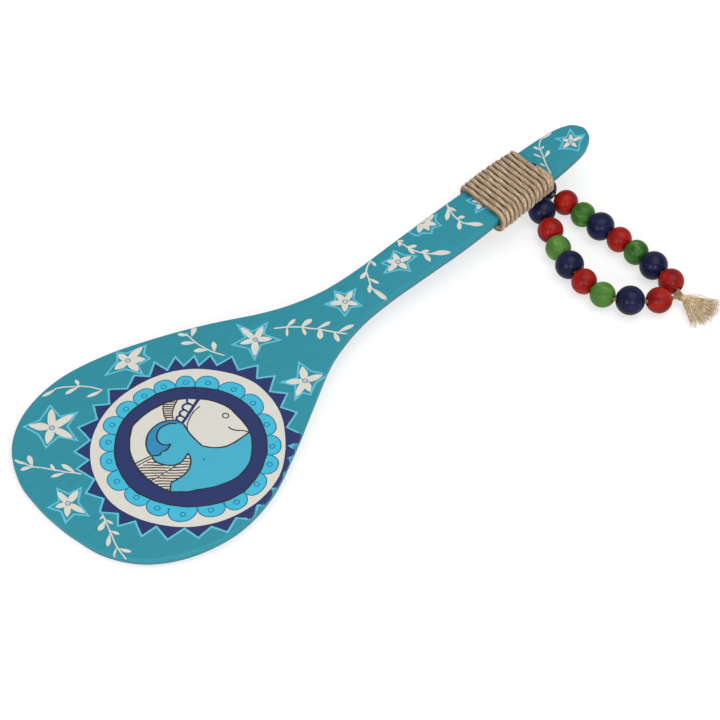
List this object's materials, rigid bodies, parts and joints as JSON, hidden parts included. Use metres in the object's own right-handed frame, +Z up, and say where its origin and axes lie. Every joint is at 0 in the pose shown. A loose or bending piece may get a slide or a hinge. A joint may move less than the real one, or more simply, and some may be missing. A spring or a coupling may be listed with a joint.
{
  "type": "serving spoon",
  "caption": "Flat painted wooden serving spoon with a twine-wrapped handle and a hanging loop of wooden beads on a jute cord that ends in a tassel.",
  "frame": {"origin": "on the table, under the middle of the board", "axes": "+X from the blade to the handle, +Z up, the bead loop lies towards -Y"},
  "size_m": [0.334, 0.1695, 0.026],
  "materials": {
    "teal_board": "hand-painted satin teal with folk painting",
    "twine": "twisted jute",
    "bead_cord": "thin jute cord",
    "tassel_fibre": "frayed jute",
    "navy_bead": "dyed and lacquered",
    "red_bead": "dyed and lacquered",
    "green_bead": "dyed and lacquered"
  },
  "bodies": {
    "board": {"paddle": "teal_board", "handle_wrap": "twine", "cord_hitch": "twine"},
    "loop_yoke": {"neck_a": "bead_cord", "neck_b": "bead_cord"},
    "bead_loop": {"strand_a": "bead_cord", "strand_b": "bead_cord", "cord_knot": "bead_cord"},
    "tassel": {"tassel": "tassel_fibre"},
    "bead_a1": {"bead_a1": "navy_bead"},
    "bead_a2": {"bead_a2": "red_bead"},
    "bead_a3": {"bead_a3": "green_bead"},
    "bead_a4": {"bead_a4": "navy_bead"},
    "bead_a5": {"bead_a5": "red_bead"},
    "bead_a6": {"bead_a6": "green_bead"},
    "bead_a7": {"bead_a7": "navy_bead"},
    "bead_a8": {"bead_a8": "red_bead"},
    "bead_b1": {"bead_b1": "navy_bead"},
    "bead_b2": {"bead_b2": "red_bead"},
    "bead_b3": {"bead_b3": "green_bead"},
    "bead_b4": {"bead_b4": "navy_bead"},
    "bead_b5": {"bead_b5": "red_bead"},
    "bead_b6": {"bead_b6": "green_bead"},
    "bead_b7": {"bead_b7": "navy_bead"},
    "bead_b8": {"bead_b8": "red_bead"}
  },
  "joints": [
    {"name": "loop_swing", "type": "hinge", "parent": "board", "child": "loop_yoke", "pos_m": [0.13113, -0.0055, 0.008], "axis": [0, 0, 1], "range_deg": [-45, 35]},
    {"name": "loop_lift", "type": "hinge", "parent": "loop_yoke", "child": "bead_loop", "pos_m": [0.12923, -0.01436, 0.00637], "axis": [-0.8675, -0.4975, 0], "range_deg": [0, 40]},
    {"name": "tassel_swing", "type": "hinge", "parent": "bead_loop", "child": "tassel", "pos_m": [0.13113, -0.093, 0.005], "axis": [0, 0, 1], "range_deg": [-35, 35]},
    {"name": "bead_a1_spin", "type": "hinge", "parent": "loop_yoke", "child": "bead_a1", "pos_m": [0.13643, -0.0028, 0.0066], "axis": [0.0872, -0.9958, -0.0291], "continuous": true},
    {"name": "bead_a2_spin", "type": "hinge", "parent": "bead_loop", "child": "bead_a2", "pos_m": [0.13763, -0.0165, 0.0062], "axis": [0.0485, -0.9986, -0.0202], "continuous": true},
    {"name": "bead_a3_spin", "type": "hinge", "parent": "bead_loop", "child": "bead_a3", "pos_m": [0.13763, -0.0275, 0.0061], "axis": [-0.0222, -0.9993, 0.0311], "continuous": true},
    {"name": "bead_a4_spin", "type": "hinge", "parent": "bead_loop", "child": "bead_a4", "pos_m": [0.13713, -0.039, 0.0069], "axis": [0, -1, 0.0043], "continuous": true},
    {"name": "bead_a5_spin", "type": "hinge", "parent": "bead_loop", "child": "bead_a5", "pos_m": [0.13763, -0.0505, 0.0062], "axis": [0, -0.9994, -0.0355], "continuous": true},
    {"name": "bead_a6_spin", "type": "hinge", "parent": "bead_loop", "child": "bead_a6", "pos_m": [0.13713, -0.0615, 0.0061], "axis": [-0.0746, -0.9967, 0.0307], "continuous": true},
    {"name": "bead_a7_spin", "type": "hinge", "parent": "bead_loop", "child": "bead_a7", "pos_m": [0.13593, -0.0732, 0.0069], "axis": [-0.1049, -0.9945, 0.0042], "continuous": true},
    {"name": "bead_a8_spin", "type": "hinge", "parent": "bead_loop", "child": "bead_a8", "pos_m": [0.13463, -0.0852, 0.0062], "axis": [-0.2346, -0.9677, -0.0929], "continuous": true},
    {"name": "bead_b1_spin", "type": "hinge", "parent": "loop_yoke", "child": "bead_b1", "pos_m": [0.12463, -0.013, 0.0066], "axis": [-0.4918, -0.8702, -0.0303], "continuous": true},
    {"name": "bead_b2_spin", "type": "hinge", "parent": "bead_loop", "child": "bead_b2", "pos_m": [0.11813, -0.0245, 0.0062], "axis": [-0.4939, -0.8693, -0.0198], "continuous": true},
    {"name": "bead_b3_spin", "type": "hinge", "parent": "bead_loop", "child": "bead_b3", "pos_m": [0.11213, -0.035, 0.0061], "axis": [-0.447, -0.8941, 0.0284], "continuous": true},
    {"name": "bead_b4_spin", "type": "hinge", "parent": "bead_loop", "child": "bead_b4", "pos_m": [0.10713, -0.0465, 0.0069], "axis": [-0.31, -0.9507, 0.0041], "continuous": true},
    {"name": "bead_b5_spin", "type": "hinge", "parent": "bead_loop", "child": "bead_b5", "pos_m": [0.10463, -0.058, 0.0062], "axis": [-0.108, -0.9936, -0.0346], "continuous": true},
    {"name": "bead_b6_spin", "type": "hinge", "parent": "bead_loop", "child": "bead_b6", "pos_m": [0.10463, -0.0695, 0.0061], "axis": [0.2523, -0.9672, 0.0294], "continuous": true},
    {"name": "bead_b7_spin", "type": "hinge", "parent": "bead_loop", "child": "bead_b7", "pos_m": [0.11063, -0.081, 0.0069], "axis": [0.6364, -0.7714, 0.0039], "continuous": true},
    {"name": "bead_b8_spin", "type": "hinge", "parent": "bead_loop", "child": "bead_b8", "pos_m": [0.12113, -0.0895, 0.0062], "axis": [0.8603, -0.5036, -0.0797], "continuous": true}
  ]
}
